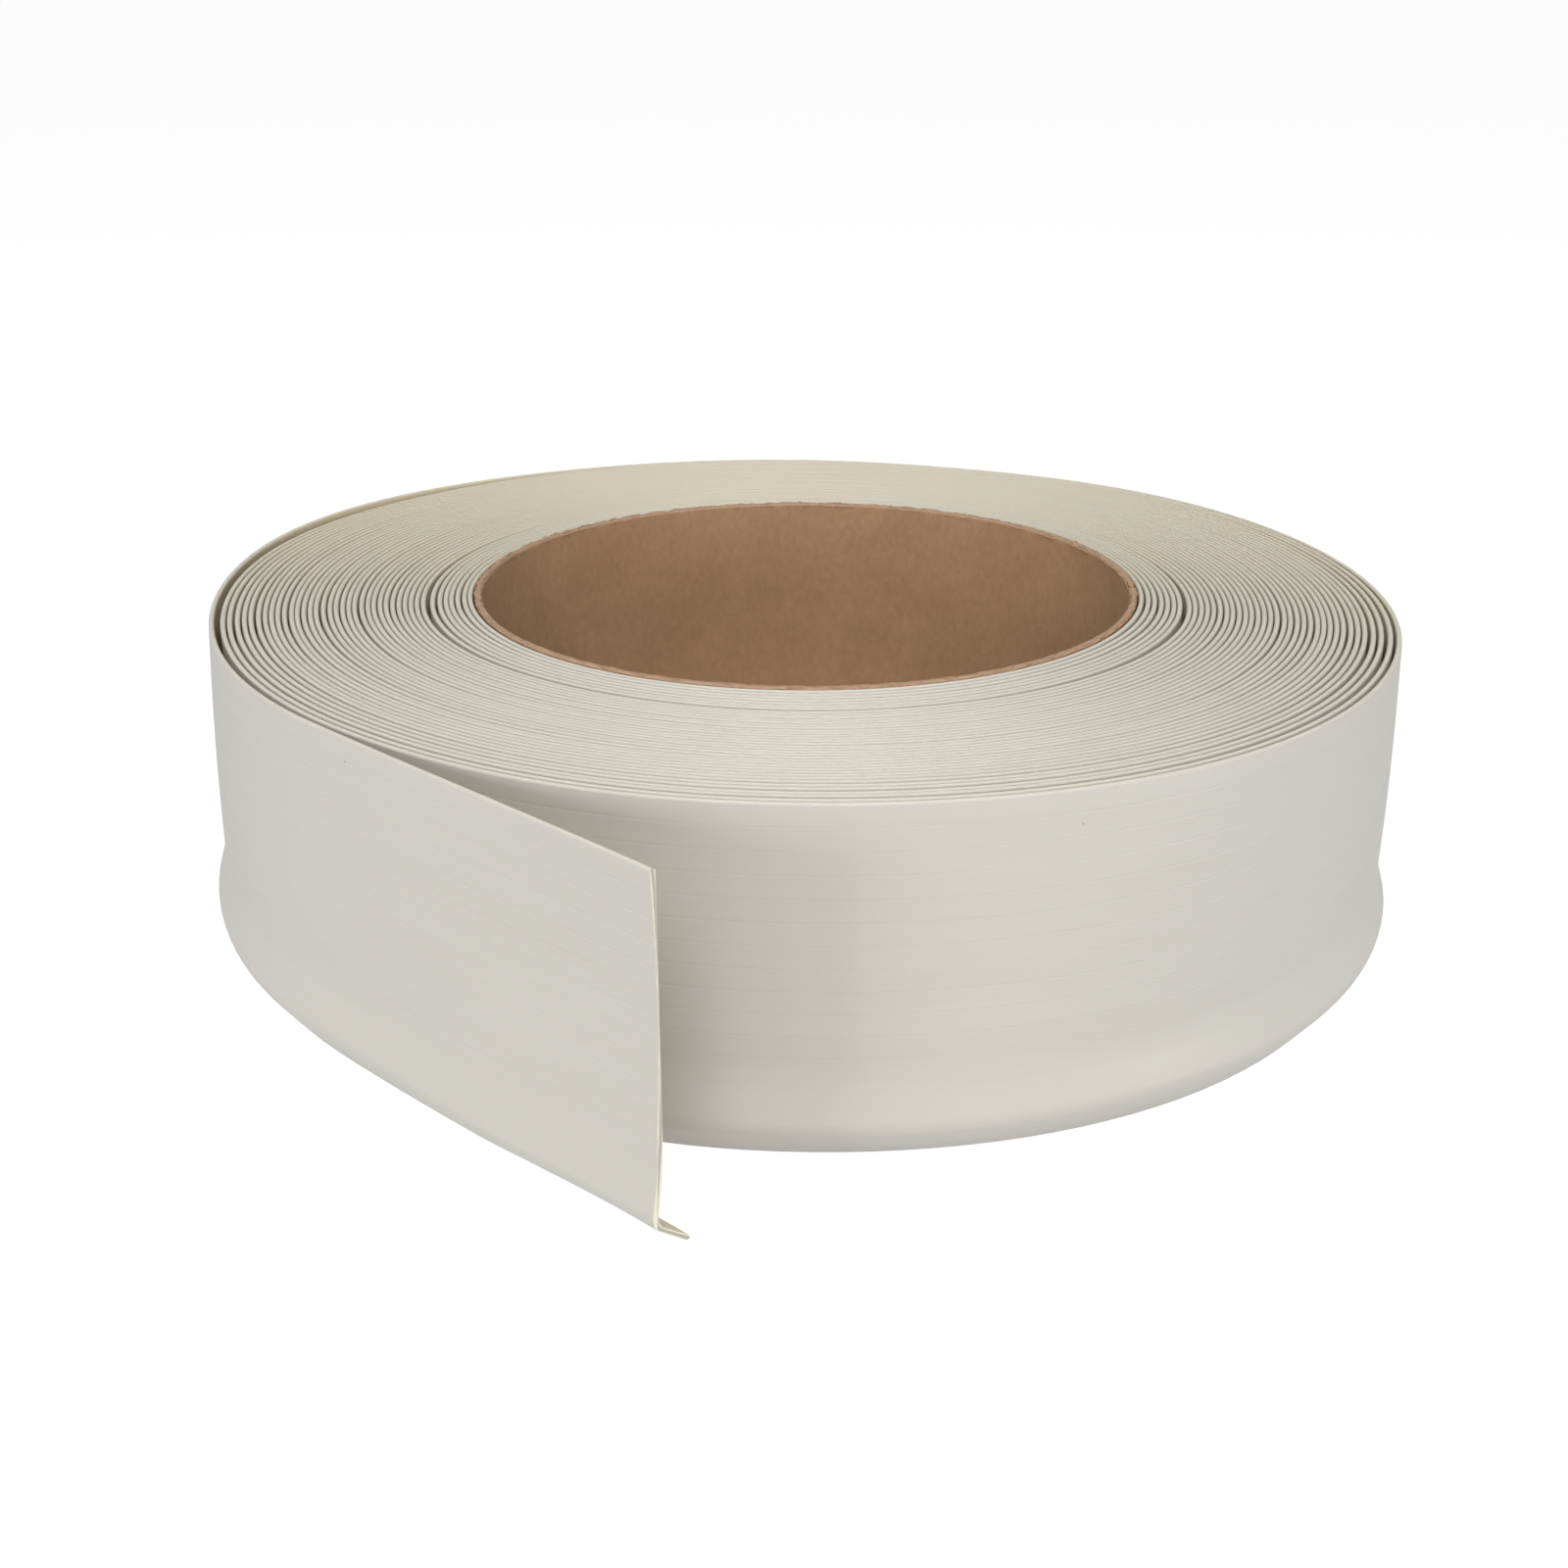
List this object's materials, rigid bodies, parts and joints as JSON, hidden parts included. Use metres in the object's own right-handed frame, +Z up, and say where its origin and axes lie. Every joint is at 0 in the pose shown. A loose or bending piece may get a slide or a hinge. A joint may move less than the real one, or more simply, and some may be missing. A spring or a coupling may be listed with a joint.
{
  "type": "roll of cove wall base strip",
  "caption": "Roll of flexible vinyl cove base strip wound on a paper core, standing on its toe edge with the free end peeled off the roll.",
  "frame": {"origin": "on the axis of the core, in the plane of the toe tips that the roll stands on", "axes": "+Z up along the core's axis; the free end leaves the roll at its front left, 135 degrees clockwise from +X, and runs towards +X and -Y"},
  "size_m": [0.407, 0.451, 0.1075],
  "materials": {
    "core_paper": "brown kraft paperboard, matt and slightly fuzzy at the cut rims",
    "strip_vinyl": "warm light grey flexible vinyl, satin"
  },
  "bodies": {
    "roll": {"first_turns": "strip_vinyl", "second_turns": "strip_vinyl", "third_turns": "strip_vinyl", "fourth_turns": "strip_vinyl", "fifth_turns": "strip_vinyl", "sixth_turns": "strip_vinyl", "loose_turns": "strip_vinyl", "last_turn": "strip_vinyl"},
    "core": {"core_liner_ply": "core_paper", "core_body_plies": "core_paper", "core_outer_ply": "core_paper"},
    "free_end": {"free_end": "strip_vinyl"}
  },
  "joints": [
    {"name": "core_slide", "type": "slide", "parent": "roll", "child": "core", "axis": [0, 0, 1], "range_m": [0, 0.11]},
    {"name": "free_end_bend", "type": "hinge", "parent": "roll", "child": "free_end", "pos_m": [-0.1446, -0.1446, 0], "axis": [0, 0, -1], "range_deg": [0, 60], "stiffness_Nm_per_rad": 0.05}
  ]
}
